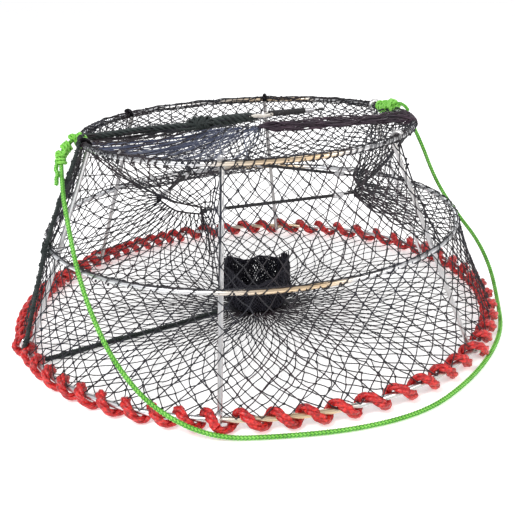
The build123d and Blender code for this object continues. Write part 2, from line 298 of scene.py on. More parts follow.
class Build:
    """Collects vertices and faces of many tubes and knots into one mesh."""

    def __init__(self):
        self.verts, self.faces, self.mats, self.count = [], [], [], 0

    def add(self, verts, faces, mat=0):
        verts = np.asarray(verts, float).reshape(-1, 3)
        faces = np.asarray(faces, int)
        self.verts.append(verts)
        self.faces.append((faces + self.count, mat))
        self.count += len(verts)

    def tubes(self, paths, radius, sides):
        """Tubes along many short paths, all with the same number of points: array (n, points, 3)."""
        paths = np.array(paths, float)
        n, k, _ = paths.shape
        if n == 0:
            return
        paths[..., 2] = np.maximum(paths[..., 2], LOWEST + np.max(radius))
        tangent = unit(np.gradient(paths, axis=1))
        chord = paths[:, -1] - paths[:, 0]
        helper = np.eye(3)[np.argmin(np.abs(chord), axis=1)][:, None, :]
        side = unit(np.cross(tangent, helper))
        ring = circles_round(side, np.cross(side, tangent), sides)
        radius = np.broadcast_to(np.asarray(radius, float), (n, k))
        verts = paths[:, :, None] + ring * radius[:, :, None, None]
        faces = skin(k, sides)[None] + (np.arange(n) * k * sides)[:, None, None]
        self.add(verts, faces.reshape(-1, 4))

    def hose(self, verts, mat=0, closed=False):
        """A skin over rings of corners, capped at both ends unless it runs back into itself."""
        rings, around = verts.shape[:2]
        self.add(verts, skin(rings, around, closed), mat)
        if not closed:
            for cap in (verts[0][::-1], verts[-1]):
                self.add(cap, [list(range(around))], mat)

    def long_tube(self, path, radius, sides=8, mat=0, closed=False):
        """One tube along a long path, with frames carried along it so that it doesn't twist."""
        path = np.array(path, float)
        path[:, 2] = np.maximum(path[:, 2], LOWEST + np.max(radius))
        side, up, _ = frames_along(path, closed)
        radius = np.broadcast_to(np.asarray(radius, float), (len(path),))
        self.hose(path[:, None] + circles_round(side, up, sides) * radius[:, None, None], mat, closed)

    def lumps(self, centres, size):
        """Small uneven knots: a low ball for each centre, stretched and turned at random."""
        centres = np.array(centres, float)
        centres[:, 2] = np.maximum(centres[:, 2], LOWEST + np.max(size) * 1.3)
        ball, tris = KNOT_BALL
        n = len(centres)
        stretch = 1 + 0.35 * (rng.random((n, 1, 3)) - 0.3)
        turn = np.linalg.qr(rng.normal(size=(n, 3, 3)))[0]
        size = np.broadcast_to(np.asarray(size, float), (n,))
        verts = np.einsum("npk,nkl->npl", ball[None] * stretch, turn) * size[:, None, None] + centres[:, None]
        faces = tris[None] + (np.arange(n) * len(ball))[:, None, None]
        self.add(verts, faces.reshape(-1, 3))

    def done(self, name, materials, body, slot, *nodes):
        """The finished piece: it rides `body` and stands for the CAD `nodes`."""
        verts = np.concatenate(self.verts)
        sizes, loops, mats = [], [], []
        for faces, mat in self.faces:
            sizes.append(np.full(len(faces), faces.shape[1]))
            loops.append(faces.ravel())
            mats.append(np.full(len(faces), mat))
        sizes, loops, mats = np.concatenate(sizes), np.concatenate(loops), np.concatenate(mats)
        mesh = bpy.data.meshes.new(name)
        mesh.vertices.add(len(verts))
        mesh.vertices.foreach_set("co", verts.ravel())
        mesh.loops.add(len(loops))
        mesh.loops.foreach_set("vertex_index", loops.astype(np.int32))
        mesh.polygons.add(len(sizes))
        starts = np.concatenate([[0], np.cumsum(sizes)[:-1]]).astype(np.int32)
        mesh.polygons.foreach_set("loop_start", starts)
        mesh.polygons.foreach_set("loop_total", sizes.astype(np.int32))
        mesh.polygons.foreach_set("material_index", mats.astype(np.int32))
        mesh.polygons.foreach_set("use_smooth", np.full(len(sizes), True))
        for material in materials:
            mesh.materials.append(material)
        mesh.update(calc_edges=True)
        mesh.validate()
        obj = bpy.data.objects.new(name, mesh)
        bpy.context.scene.collection.objects.link(obj)
        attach(obj, body)
        if nodes:
            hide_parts(*nodes)
        return obj


def ico_ball():
    """A twenty-sided ball: twelve corners on the unit sphere."""
    g = (1 + sqrt(5)) / 2
    corners = []
    for a in (-1, 1):
        for b in (-g, g):
            corners += [(0, a, b), (a, b, 0), (b, 0, a)]
    corners = np.array(corners, float)
    corners /= np.linalg.norm(corners[0])
    tris = []
    for i, j, k in combinations(range(12), 3):
        trio = corners[[i, j, k]]
        neighbours = np.linalg.norm(trio - np.roll(trio, 1, axis=0), axis=1).max() < 1.2
        if neighbours:
            flip = np.dot(np.cross(trio[1] - trio[0], trio[2] - trio[0]), trio.sum(0)) < 0
            tris.append((i, k, j) if flip else (i, j, k))
    return corners, np.array(tris)


KNOT_BALL = ico_ball()
KNOT_STEP = 0.0012


def frames_along(path, closed=False):
    """Side and up vectors carried along a path without twist, and the distance run."""
    tangent = np.gradient(path, axis=0)
    if closed:
        tangent = np.roll(path, -1, axis=0) - np.roll(path, 1, axis=0)
    tangent = unit(tangent)
    side = np.zeros_like(path)
    helper = np.eye(3)[np.argmin(np.abs(tangent[0]))]
    side[0] = np.cross(tangent[0], helper)
    side[0] /= np.linalg.norm(side[0])
    for i in range(1, len(path)):
        v = side[i - 1] - tangent[i] * np.dot(side[i - 1], tangent[i])
        side[i] = v / (np.linalg.norm(v) + 1e-12)
    up = np.cross(tangent, side)
    return side, up, distance_run(path)


def resample(path, step):
    path = np.asarray(path, float)
    run = distance_run(path)
    count = max(2, int(round(run[-1] / step)) + 1)
    at = np.linspace(0, run[-1], count)
    return np.stack([np.interp(at, run, path[:, k]) for k in range(3)], -1)


def smooth_path(points, step):
    """Even points on a Catmull-Rom line through a few given points."""
    p = np.asarray(points, float)
    p = np.vstack([2 * p[0] - p[1], p, 2 * p[-1] - p[-2]])
    out = []
    for a, b, c, d in zip(p, p[1:], p[2:], p[3:]):
        for t in np.linspace(0, 1, 12, endpoint=False):
            out.append(0.5 * (2 * b + (c - a) * t + (2 * a - 5 * b + 4 * c - d) * t * t
                              + (3 * b - a - 3 * c + d) * t ** 3))
    out.append(p[-2])
    return resample(out, step)


def polar_path(points, step):
    return smooth_path([polar(*point) for point in points], step)


def bundle(build, path, strands, lay_r, strand_r, pitch, frame=None, flat=1.0, lobes=0, sides=8, twist=0.0):
    """A laid rope: strands twisted round each other, each with ridges of its own yarns."""
    side, up, run = frames_along(path)
    if frame is not None:
        side, up = frame
    angle = circle(sides)
    lay_r = np.broadcast_to(np.asarray(lay_r, float), (len(path),))
    strand_r = np.broadcast_to(np.asarray(strand_r, float), (len(path),))
    for k in range(strands):
        turn = 2 * pi * run / pitch + 2 * pi * k / strands + twist
        x, y = lay_r * np.cos(turn), lay_r * np.sin(turn)
        ridge = 1 + (0.10 * np.cos(lobes * (angle[None] + 2.4 * turn[:, None])) if lobes else 0.0)
        rim = strand_r[:, None] * ridge
        local_x = x[:, None] + rim * np.cos(angle)
        local_y = (y[:, None] + rim * np.sin(angle)) * flat
        build.hose(path[:, None] + side[:, None] * local_x[..., None] + up[:, None] * local_y[..., None])


def thin_rope(build, line, rope_r, sides):
    """Three-strand cord for knots, along any line."""
    bundle(build, resample(line, KNOT_STEP), 3, rope_r * 0.5, rope_r * 0.55, rope_r * 7, sides=sides)


def braid(build, path, rope_r, per_way, pitch, mats=(0, 0), sides=6):
    """A braided cord: strands winding both ways that pass over and under each other."""
    strand = rope_r * 0.34
    lay_r = rope_r - strand * 1.35
    side, up, run = frames_along(path)
    for way in (1, -1):
        for k in range(per_way):
            turn = way * 2 * pi * run / pitch + 2 * pi * k / per_way
            lift = lay_r + way * strand * 0.42 * np.cos(per_way * 2 * pi * run / pitch)
            line = path + (side * np.cos(turn)[:, None] + up * np.sin(turn)[:, None]) * lift[:, None]
            build.long_tube(line, strand, sides, mats[0] if way == 1 else mats[1])
    build.long_tube(np.vstack([path[:-1:5], path[-1:]]), rope_r * 0.5, sides, mats[1])


def wraps(build, centre, axis, turns, radius, length, rope_r, sides=8, wobble=0.08):
    """Turns of cord round an axis, each a little different from the last."""
    axis = np.asarray(axis, float) / np.linalg.norm(axis)
    helper = np.eye(3)[np.argmin(np.abs(axis))]
    side = unit(np.cross(axis, helper))
    up = np.cross(axis, side)
    t = np.linspace(0, 1, int(26 * turns) + 2)
    angle = 2 * pi * turns * t + rng.random() * 2 * pi
    swell = radius * (1 + wobble * np.sin(angle * 0.7 + rng.random() * 6))
    tilt = length * 0.18 * np.sin(angle + rng.random() * 6)
    line = np.asarray(centre) + side * (swell * np.cos(angle))[:, None] + up * (swell * np.sin(angle))[:, None]
    thin_rope(build, line + axis * (length * (t - 0.5) + tilt)[:, None], rope_r, sides)


def tangle(build, centre, size, turns, rope_r):
    """A lumpy knot: loops of cord round a core, each loop in its own plane."""
    t = np.linspace(0, 1, int(40 * turns))
    a, b = 2 * pi * turns * t, 2 * pi * turns * 0.381 * t
    ball = np.stack([np.cos(a) * np.cos(b) * 0.95, np.sin(a) * 0.9, np.cos(a) * np.sin(b) * 0.95], -1)
    line = np.asarray(centre) + ball * np.asarray(size) * (0.9 + 0.12 * np.sin(a * 1.7))[:, None]
    thin_rope(build, line, rope_r, 6)


# ---- netting
WAVES = rng.normal(size=(6, 3)) * np.array([[18.0], [18.0], [34.0], [34.0], [60.0], [60.0]])
PHASES = rng.random((6, 3)) * 2 * pi


def drift(points):
    """Smooth uneven offset, about -1 to 1 on each axis, that varies from place to place."""
    waves = np.sin(np.einsum("...k,wk->...w", points, WAVES)[..., None] + PHASES)
    return waves.mean(axis=-2) * 1.6


def diamond_net(build, surface, columns, rows, closed=False, uneven=0.0025, sag=0.07, ends=(True, True),
                row_at=None, sides=5):
    """Knotted diamond mesh over surface(u, v)."""
    lines = []
    for j in range(rows + 1):
        odd = j % 2
        count = columns if (closed or odd) else columns + 1
        u = (np.arange(count) + 0.5 * odd) / columns
        v = row_at(j / rows) if row_at else j / rows
        inner = 0 < j < rows
        if inner:
            u = u + rng.normal(size=count) * 0.06 / columns
            v = v + rng.normal(size=count) * 0.07 / rows
            if not closed and not odd:
                u[0], u[-1] = 0, 1
        place = surface(u, np.broadcast_to(v, u.shape))
        lines.append(place + drift(place) * uneven * (1.0 if inner else 0.15))
    starts, finishes = [], []
    for j in range(rows):
        low, high = lines[j], lines[j + 1]
        if j % 2 == 0:
            starts += [low[:len(high)], np.roll(low, -1, axis=0) if closed else low[1:]]
            finishes += [high, high]
        else:
            starts += [low, low]
            finishes += [high[:len(low)], np.roll(high, -1, axis=0) if closed else high[1:]]
    starts, finishes = np.concatenate(starts), np.concatenate(finishes)
    length = np.linalg.norm(finishes - starts, axis=1, keepdims=True)
    t = np.linspace(0, 1, 4)[None, :, None]
    bow = (rng.normal(size=starts.shape) * 0.7 + np.array([0, 0, -0.6])) * length * sag
    paths = starts[:, None] * (1 - t) + finishes[:, None] * t + bow[:, None] * hump(t) * 0.6
    build.tubes(paths, TWINE_R * (0.9 + 0.2 * rng.random((len(paths), 1))), sides)
    inner = np.concatenate(lines[(0 if ends[0] else 1):(None if ends[1] else -1)])
    build.lumps(inner, KNOT_R * (0.85 + 0.3 * rng.random(len(inner))))


def cone(foot, head, low=0.0, high=360.0, bow=0.0):
    """Wall between two levels; u runs over the azimuths and v upward."""
    def surface(u, v):
        radius = foot[0] + (head[0] - foot[0]) * v - bow * hump(v)
        return polar(low + (high - low) * u, radius, foot[1] + (head[1] - foot[1]) * v)
    return surface


def squash_wall(obj):
    """Gives a piece between two hoops its own copy of its mesh."""
    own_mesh(obj)


def lower_wall():
    build = Build()
    surface = cone((BASE_R + 0.003, BASE_Z + 0.003), (MID_R + 0.0025, MID_Z), bow=0.004)
    diamond_net(build, surface, COLUMNS, 10, closed=True, ends=(False, True))
    obj = build.done("lower_net_twine", [TWINE], "base", "net_twine", "lower_net")
    squash_wall(obj)


def upper_wall():
    build = Build()
    for low, high in PANEL_BAYS:
        columns = round((high - low) / 360 * COLUMNS)
        surface = cone((MID_R + 0.002, MID_Z), (TOP_R + 0.002, TOP_Z), low, high, bow=0.006)
        diamond_net(build, surface, columns, 10)
        edge = np.linspace(0, 1, 11)
        for u in (0.0, 1.0):
            side = surface(np.full(11, u), edge)
            build.long_tube(resample(side, 0.01), TWINE_R * 1.3, 6)
    obj = build.done("upper_net_twine", [TWINE], "middle", "net_twine", "upper_net")
    squash_wall(obj)


def out_and_along(azimuth):
    """Unit vectors away from the middle and along the rim."""
    a = radians(azimuth)
    return np.array([cos(a), sin(a), 0]), np.array([-sin(a), cos(a), 0])


def tunnel_surface(bay, azimuth, radius):
    """From the bay's rim round the hoops and struts to the flat mouth."""
    low, high = bay
    spans = np.array([radians(high - low) * MID_R, 0.15, radians(high - low) * TOP_R, 0.15])
    edges = np.concatenate([[0], np.cumsum(spans / spans.sum())])
    out, along = out_and_along(azimuth)

    def surface(u, v):
        u = np.mod(u, 1.0)
        side = np.clip(np.searchsorted(edges, u, side="right") - 1, 0, 3)
        t = (u - edges[side]) / (edges[side + 1] - edges[side])
        turn = np.choose(side, [low + (high - low) * t, high + 0 * t, high + (low - high) * t, low + 0 * t])
        rise = np.choose(side, [0 * t, t, 1 + 0 * t, 1 - t])
        rim = polar(turn, MID_R + (TOP_R - MID_R) * rise, MID_Z + (TOP_Z - MID_Z) * rise)
        across = np.choose(side, [2 * t - 1, 1 + 0 * t, 1 - 2 * t, -1 + 0 * t]) * MOUTH_W / 2
        height = np.choose(side, [-1 + 0 * t, 2 * t - 1, 1 + 0 * t, 1 - 2 * t]) * MOUTH_H / 2
        mouth = out * (radius - 0.009 * np.abs(across[..., None]) / (MOUTH_W / 2)) + along * across[..., None]
        mouth = mouth + UP * (MOUTH_Z + height[..., None])
        v = v[..., None]
        lower_lip = np.maximum(0, -height[..., None] / MOUTH_H) * v ** 2
        droop = UP * -0.007 * (1 - (across[..., None] / (MOUTH_W / 2)) ** 2) * lower_lip
        return rim * (1 - v) + mouth * v + UP * -0.010 * hump(v) + droop
    return surface


def tunnels():
    for index, (bay, azimuth, radius) in enumerate(zip(TUNNEL_BAYS, MOUTH_AZIMUTHS, MOUTH_RADII)):
        build = Build()
        surface = tunnel_surface(bay, azimuth, radius)
        diamond_net(build, surface, 34, 8, closed=True, row_at=lambda v: v ** 0.92)
        rim = surface(np.linspace(0, 1, 121)[:-1], np.ones(120))
        build.long_tube(rim, TWINE_R * 1.6, 6, closed=True)
        number = index + 1
        obj = build.done(f"tunnel_twine_{number}", [TWINE], "middle", "net_twine", f"tunnel_net_{number}")
        squash_wall(obj)


CLOSURE_X = (-0.250, -0.170, -0.072, 0.010, 0.030, 0.160, 0.238, 0.252)
CLOSURE_Y = (-0.052, -0.014, 0.004, -0.014, -0.030, -0.024, -0.008, -0.004)
GATHER_FROM = (-0.256, -0.150, 0.000, 0.256)
GATHER_TO = (-0.105, -0.035, 0.024, 0.246)


def top_cover():
    build = Build()

    def surface(u, v):
        rim = polar(360 * u, TOP_R, TOP_Z)
        back = rim[..., 1] > -0.03
        x = np.where(back, rim[..., 0] * 0.96, np.interp(rim[..., 0], GATHER_FROM, GATHER_TO))
        goal = np.stack([x, np.interp(x, CLOSURE_X, CLOSURE_Y), np.full_like(x, TOP_NET_Z + 0.002)], -1)
        v = v[..., None]
        span = np.linalg.norm(goal - rim, axis=-1, keepdims=True)
        fold_depth = 0.0035 * v * np.where(back, 0.3, 1.0)[..., None]
        folds = UP * np.sin(u * 2 * pi * 27)[..., None] * fold_depth
        return rim * (1 - v) + goal * v + UP * -0.035 * span * hump(v) + folds
    diamond_net(build, surface, COLUMNS + 8, 12, closed=True, sides=4)
    for azimuth in np.arange(194.0, 268.0, 1.35):
        azimuth += rng.normal() * 0.4
        start = polar(azimuth, TOP_R - 0.002, TOP_Z - 0.003)
        goal = np.array([rng.uniform(-0.055, 0.026), -0.022 + rng.normal() * 0.005, TOP_NET_Z + 0.002])
        t = np.linspace(0, 1, 12)[:, None]
        side = np.array([start[1] - goal[1], goal[0] - start[0], 0.0])
        path = start * (1 - t) + goal * t + side * 0.025 * np.sin(t * 9 + rng.random() * 6) * hump(t)
        path[:, 2] -= (0.004 + 0.006 * rng.random()) * np.sin(pi * t[:, 0])
        build.long_tube(path, TWINE_R * (0.65 + 0.35 * rng.random()), 5, 1)
    build.done("top_net_twine", [TWINE, BLUE_TWINE], "top", "net_twine", "top_net")


FLOOR_GATHER = np.array([0.004, -0.026, 0.004])


def floor_net():
    build = Build()

    def surface(u, v):
        rim = polar(360 * u, BASE_R - 0.003, BASE_Z - 0.004)
        v = v[..., None]
        path = rim * (1 - v) + FLOOR_GATHER * v
        path[..., 2] = FLOOR_NET_Z + 0.0015 + (BASE_Z - 0.006) * (1 - v[..., 0]) ** 3
        return path
    diamond_net(build, surface, COLUMNS, 17, closed=True, uneven=0.003, sag=0.08, ends=(False, False),
                row_at=lambda v: v * 0.97)
    build.done("floor_net_twine", [TWINE], "base", "net_twine", "bottom_net")


# ---- hoop lashings
def on_hoop(azimuth, radius, z, lift, turn):
    """Places at a distance from a hoop's centre line, turned round the rod from its outer side."""
    return polar(azimuth, radius + lift * np.cos(turn), z + lift * np.sin(turn))


def spiral_lashing(build, radius, z, rod_r, turns, slack=0.0006):
    """One twine wound all the way round a hoop through the edge meshes."""
    t = np.linspace(0, 1, turns * 10 + 1)
    uneven = np.interp(t * turns, np.arange(turns + 1), np.cumsum(0.6 + 0.8 * rng.random(turns + 1)))
    uneven = (uneven - uneven[0]) / (uneven[-1] - uneven[0])
    around = 2 * pi * turns * t
    lift = rod_r + TWINE_R + slack * (1 + np.sin(around))
    build.long_tube(on_hoop(360 * uneven, radius, z, lift, around), TWINE_R, 5)


def hoop_edges():
    for name, body, radius, z, turns in (("top_hoop_lashing", "top", TOP_R, TOP_Z, 138),
                                         ("middle_hoop_lashing", "middle", MID_R, MID_Z, 76)):
        build = Build()
        spiral_lashing(build, radius, z, HOOP_ROD, turns)
        edge = np.linspace(0, 360, 361)
        wander = 0.0008 * np.sin(np.radians(edge * 37)) + 0.0006 * np.sin(np.radians(edge * 23 + 40))
        edge_line = polar(edge, radius + HOOP_ROD * 0.2 + wander, z + HOOP_ROD + TWINE_R * 1.2 + wander)
        build.long_tube(edge_line, TWINE_R * 1.2, 5)
        ties = rng.random(turns) * 360
        around = rng.random(turns) * 2 * pi
        build.lumps(on_hoop(ties, radius, z, HOOP_ROD + TWINE_R * 2, around), KNOT_R * 1.05)
        if body == "top":
            for k in range(7):
                far = np.linspace(12 + 3 * k, 204 - 2 * k, 320)
                roll = 0.9 * k + 0.8 * np.sin(np.radians(far * (9 + k)))
                roll = roll + 0.5 * np.sin(np.radians(far * 31 + 70 * k))
                lie = HOOP_ROD + TWINE_R * (1.6 + 0.5 * np.sin(np.radians(far * 17 + 50 * k)))
                build.long_tube(on_hoop(far, radius, z, lie, roll), TWINE_R * 1.1, 5)
            for azimuth in np.arange(214.0, 262.0, 6.4):
                along = np.linspace(0, 1, 14)
                at = azimuth + 2.6 * (along - 0.5) + 1.1 * np.sin(2 * pi * along)
                drop = 0.0125 * np.sin(pi * along) ** 0.7
                loop = polar(at, radius + 0.0042 - 0.3 * drop, z + 0.0045 - drop)
                build.long_tube(loop, TWINE_R * 1.15, 5)
        build.done(name, [TWINE], body, "net_twine")


# ---- red rope wound on the base hoop
ROPE_W = 0.0140
ROPE_T = 0.0106
TURN_LENGTHS = (0.042, 0.040, 0.042, 0.0317, 0.028, 0.040)
FIRST_HALF_TURNS = (0.5, 0.5, 0.5, 0.385, 0.5, 0.48)


def wound_rope():
    """Whole turns between the strut eyes; on the near side each turn runs longer outside than inside."""
    spans = []
    for k, azimuth in enumerate(STRUTS):
        following = STRUTS[(k + 1) % 6] + (360 if k == 5 else 0)
        arc = radians(following - azimuth) * BASE_R
        turns = round(arc / TURN_LENGTHS[k])
        t = np.linspace(0, 1, turns * 24, endpoint=False)
        phase = 2 * pi * turns * t
        along = np.interp(t, (0, FIRST_HALF_TURNS[k], 1), (0, 0.5, 1))
        at = azimuth + (following - azimuth) * along
        near_side = np.clip(-np.sin(np.radians(at)) * 2.0, -1.1, 1.0)
        loose = 0.05 * np.sin(2 * pi * t * turns / 5.3 + k)
        at = at + (following - azimuth) / turns * (0.40 * near_side * np.sin(phase) / (2 * pi) + loose)
        spans.append(np.stack([at, phase, np.minimum(along, 1 - along) * arc], -1))
    at, phase, near = np.concatenate(spans).T
    phase = -phase
    over_eye = 0.0070 * np.exp(-(near / 0.009) ** 2) * np.clip(np.cos(phase), 0, 1)
    lift = BASE_ROD + ROPE_T / 2 + 0.0003 + 0.0009 * np.clip(-np.sin(phase), 0, 1) ** 2 + over_eye
    path = on_hoop(at, BASE_R, BASE_Z, lift, phase)
    outward = polar(at, np.cos(phase), 0.0)
    outward[:, 2] = np.sin(phase)
    path, outward = np.vstack([path, path[:1]]), np.vstack([outward, outward[:1]])
    tangent = unit(np.gradient(path, axis=0))
    outward = unit(outward - tangent * np.sum(outward * tangent, axis=1, keepdims=True))
    build = Build()
    strand_r = ROPE_W * 0.27
    bundle(build, path, 3, ROPE_W / 2 - strand_r, strand_r, 0.034, (np.cross(tangent, outward), outward),
           ROPE_T / ROPE_W, lobes=5, sides=15)
    build.done("base_rope_turns", [RED], "base", "red_rope", "base_rope_wrap")


# ---- seam ropes and the top closure
SEAM_STEP = 0.0016


def seam_pair(build, line, half_gap, lace_gap, strand):
    """Two small laid cords side by side, laced together."""
    line = resample(line, SEAM_STEP)
    tangent = unit(np.gradient(line, axis=0))
    out = line * np.array([1, 1, 0])
    across = np.cross(tangent, out / np.linalg.norm(out, axis=1, keepdims=True) + 1e-9)
    length = np.linalg.norm(across, axis=1, keepdims=True)
    across = np.where(length > 0.3, across / (length + 1e-9), np.array([[0, 0, 1.0]]))
    for way in (-1, 1):
        cord = line + across * half_gap * way
        bundle(build, cord, 3, strand * 0.55, strand * 0.58, 0.013, sides=6, twist=way)
    count = int(len(line) * SEAM_STEP / lace_gap)
    for k in range(1, count):
        i = int(k * lace_gap / SEAM_STEP + rng.normal() * 1.5)
        i = min(max(i, 2), len(line) - 3)
        t = np.linspace(0, 2 * pi * 1.3, 16)
        normal = np.cross(across[i], tangent[i])
        loop = line[i] + across[i] * ((half_gap + strand * 1.35) * np.cos(t))[:, None]
        loop = loop + normal * (strand * 1.5 * np.sin(t))[:, None]
        loop = loop + tangent[i] * np.linspace(-0.002, 0.002, 16)[:, None]
        build.long_tube(loop, TWINE_R, 5)


def seam_ropes():
    low_side = polar_path([(206.8, 0.3895, 0.024), (206.2, 0.381, 0.040), (204.6, 0.3625, 0.085),
                           (203.6, 0.3455, 0.130), (203.4, 0.3345, 0.161)], 0.004)
    build = Build()
    seam_pair(build, low_side, 0.0027, 0.016, 0.0027)
    tie = polar(203.4, MID_R + 0.006, MID_Z + 0.002)
    wraps(build, tie, polar(205.0, -0.05, 0.146), 5, 0.0066, 0.016, 0.0013)
    obj = build.done("seam_cords_lower", [SEAM], "base", "seam_rope", "seam_rope_lower")
    squash_wall(obj)

    high_side = polar_path([(203.4, 0.3345, 0.161), (202.8, 0.317, 0.200), (202.4, 0.298, 0.240),
                            (203.6, 0.279, 0.280), (203.2, 0.2665, 0.305), (200.0, 0.260, 0.3150),
                            (195.5, 0.252, 0.3150)], 0.004)
    build = Build()
    seam_pair(build, high_side, 0.0024, 0.014, 0.0024)
    obj = build.done("seam_cords_upper", [SEAM], "middle", "seam_rope", "seam_rope_upper")
    squash_wall(obj)

    bottom = polar_path([(208.8, 0.366, 0.0085), (208.8, 0.350, 0.0052), (208.4, 0.260, 0.0046),
                         (209.2, 0.160, 0.0046), (208.8, 0.062, 0.0056)], 0.004)
    build = Build()
    seam_pair(build, bottom, 0.0020, 0.015, 0.0021)
    across = np.array([0.48, -0.87, 0])
    for offset in (-0.0042, 0.0045):
        line = resample(bottom, 0.004)
        sway = 0.0012 * np.sin(np.arange(len(line)) * 0.31 + offset * 900)
        build.long_tube(line + across * (offset + sway)[:, None] - UP * 0.0012, TWINE_R * 1.1, 5)
    build.done("seam_cords_floor", [SEAM], "base", "seam_rope", "seam_rope_bottom")


def strand_sway(run, slow, fast, phases, fast_share):
    """Where a strand lies across its bundle: a slow wave, a fast one and a shift."""
    wave = np.sin(run * (slow + 20 * rng.random()) + phases[0]) * 0.6
    return wave + np.sin(run * fast + phases[1]) * fast_share + (rng.random() - 0.5)


def gathered_net(build, line, width, height, strands, radius=0.0009, taper=(1.0, 1.0), mat=0):
    """Twine bunched into a bundle: each strand wanders through the bundle's width."""
    line = resample(line, 0.004)
    run = distance_run(line)
    flat_side = unit(np.cross(np.gradient(line, axis=0), UP))
    size = np.interp(run / run[-1], (0, 0.12, 0.88, 1), (taper[0], 1, 1, taper[1]))
    for k in range(strands):
        a = rng.random(4) * 2 * pi
        x = strand_sway(run, 22, 75, a[:2], 0.3) * width / 2 * size
        y = strand_sway(run, 26, 90, a[2:], 0.25) * height / 2 * size
        strand = line + flat_side * x[:, None] + UP * y[:, None]
        build.long_tube(strand, radius * (0.8 + 0.5 * rng.random()), 5, mat)


CLOSURE_Z = 0.3105


def closure_cord():
    """The drawn cord, the knot in it and the bunched net on it."""
    z = CLOSURE_Z
    knot = np.array([-0.072, 0.004, z + 0.001])
    build = Build()
    first = smooth_path([(-0.243, -0.050, 0.3125), (-0.215, -0.036, z), (-0.170, -0.014, z),
                         (-0.120, -0.004, z), (-0.072, 0.004, z)], 0.002)
    grow = np.interp(np.linspace(0, 1, len(first)), (0, 0.5, 1), (0.0026, 0.0034, 0.0042))
    bundle(build, first, 4, grow, grow * 0.72, 0.040, lobes=3, sides=9)
    second = smooth_path([(-0.072, 0.004, z), (-0.045, 0.018, z + 0.001), (-0.012, 0.042, z + 0.001),
                          (0.014, 0.058, z), (0.027, 0.065, z - 0.001)], 0.002)
    grow = np.interp(np.linspace(0, 1, len(second)), (0, 0.35, 0.8, 1), (0.0046, 0.0060, 0.0046, 0.0009))
    bundle(build, second, 5, grow, grow * 0.66, 0.055, lobes=3, sides=9, twist=0.6)
    for shift in (-0.005, 0.004):
        place = knot + (shift * 1.2, shift * 0.4, 0.002)
        tangle(build, place, (0.0155, 0.013, 0.0115), 7.5, 0.0026)
    loose = smooth_path([knot + (0.004, -0.008, 0), knot + (-0.012, -0.019, -0.002),
                         knot + (-0.034, -0.016, -0.003), knot + (-0.042, -0.010, -0.003)], 0.0016)
    bundle(build, loose, 3, 0.0011, 0.0012, 0.014, sides=6)
    gathered_net(build, first, 0.012, 0.006, 7, mat=1)
    gathered_net(build, second, 0.015, 0.008, 10, taper=(1.0, 0.3), mat=1)
    build.done("closure_cord_and_gather", [SEAM, TWINE], "top", "seam_rope", "closure_rope", "closure_knot")


def closure_hook():
    z = CLOSURE_Z
    shank = smooth_path([(0.004, 0.046, z + 0.003), (0.018, 0.054, z + 0.002), (0.030, 0.062, z),
                         (0.040, 0.071, z), (0.043, 0.080, z), (0.037, 0.086, z), (0.030, 0.083, z)], 0.0015)
    width = np.interp(np.linspace(0, 1, len(shank)), (0, 0.15, 0.7, 0.92, 1),
                      (0.0012, 0.0030, 0.0026, 0.0022, 0.0010))
    hook = Build()
    hook.long_tube(shank, width, 12)
    hook.done("closure_hook", [PALE], "top", "hook_vinyl")


def closure_gather():
    """The gathered edge of the top net right of the centre, tied down to the hoop."""
    z = CLOSURE_Z
    build = Build()
    line = smooth_path([(0.018, -0.026, z), (0.070, -0.029, z), (0.120, -0.026, z), (0.160, -0.024, z),
                        (0.205, -0.016, z), (0.240, -0.006, z - 0.001)], 0.004)
    gathered_net(build, line, 0.060, 0.010, 36, radius=0.0008, taper=(0.22, 0.9))
    for _ in range(26):
        tie = polar(rng.uniform(-13, 9), TOP_R + 0.002, TOP_Z + 0.003)
        root = np.array([0.205, -0.018, z]) + np.array([0.03, 0.016, 0.002]) * rng.random(3)
        middle = root * 0.5 + tie * 0.5 + rng.normal(size=3) * 0.0025
        build.long_tube(smooth_path([root, middle, tie], 0.004), TWINE_R * 1.1, 5)
    for azimuth in np.linspace(-12, 8, 13):
        along = polar(azimuth + 90, 1.0, 0.0)
        wraps(build, polar(azimuth, TOP_R, TOP_Z), along, 1.6, HOOP_ROD + 0.0017, 0.005, 0.0011, sides=5)
    build.done("closure_gather", [PURPLE_TWINE], "top", "net_twine", "closure_band")


# ---- elastic cords with wire coils
ELASTIC_R = 0.003
COIL_R = 0.0045
COIL_TURNS = 12
WIRE_R = 0.00062
COIL_FROM, COIL_LENGTH, ELASTIC_FROM = 0.018, 0.017, 0.035


def mouth_anchor(index, side):
    out, along = out_and_along(MOUTH_AZIMUTHS[index])
    return out * (MOUTH_RADII[index] - 0.009) + along * side * (MOUTH_W / 2 + 0.002) + UP * MOUTH_Z


def elastic(name, body, start, end, node):
    """The braided cord between two hooks; returns the lines of the coils at its ends."""
    along = (end - start) / np.linalg.norm(end - start)
    cord = Build()
    inset = along * (ELASTIC_FROM - 0.006)
    line = resample([start + inset, end - inset], 0.0012)
    braid(cord, line, ELASTIC_R * 0.95, 4, 0.012, sides=5)
    cord.done(name, [ELASTIC], body, "elastic_cord", node)
    coils = []
    for first, way in ((start, along), (end, -along)):
        helper = np.cross(way, UP)
        t = np.linspace(0, 1, COIL_TURNS * 14 + 1)
        turn = 2 * pi * COIL_TURNS * t
        wide = COIL_R - 0.0007
        radius = np.interp(t, (0, 0.08, 0.92, 1), (COIL_R * 0.55, wide, wide, COIL_R * 0.75))
        ring = helper * np.cos(turn)[:, None] + UP * np.sin(turn)[:, None]
        run = COIL_FROM + 0.0004 + (COIL_LENGTH - 0.0008) * t
        coils.append(first + way * run[:, None] + ring * radius[:, None])
    return coils


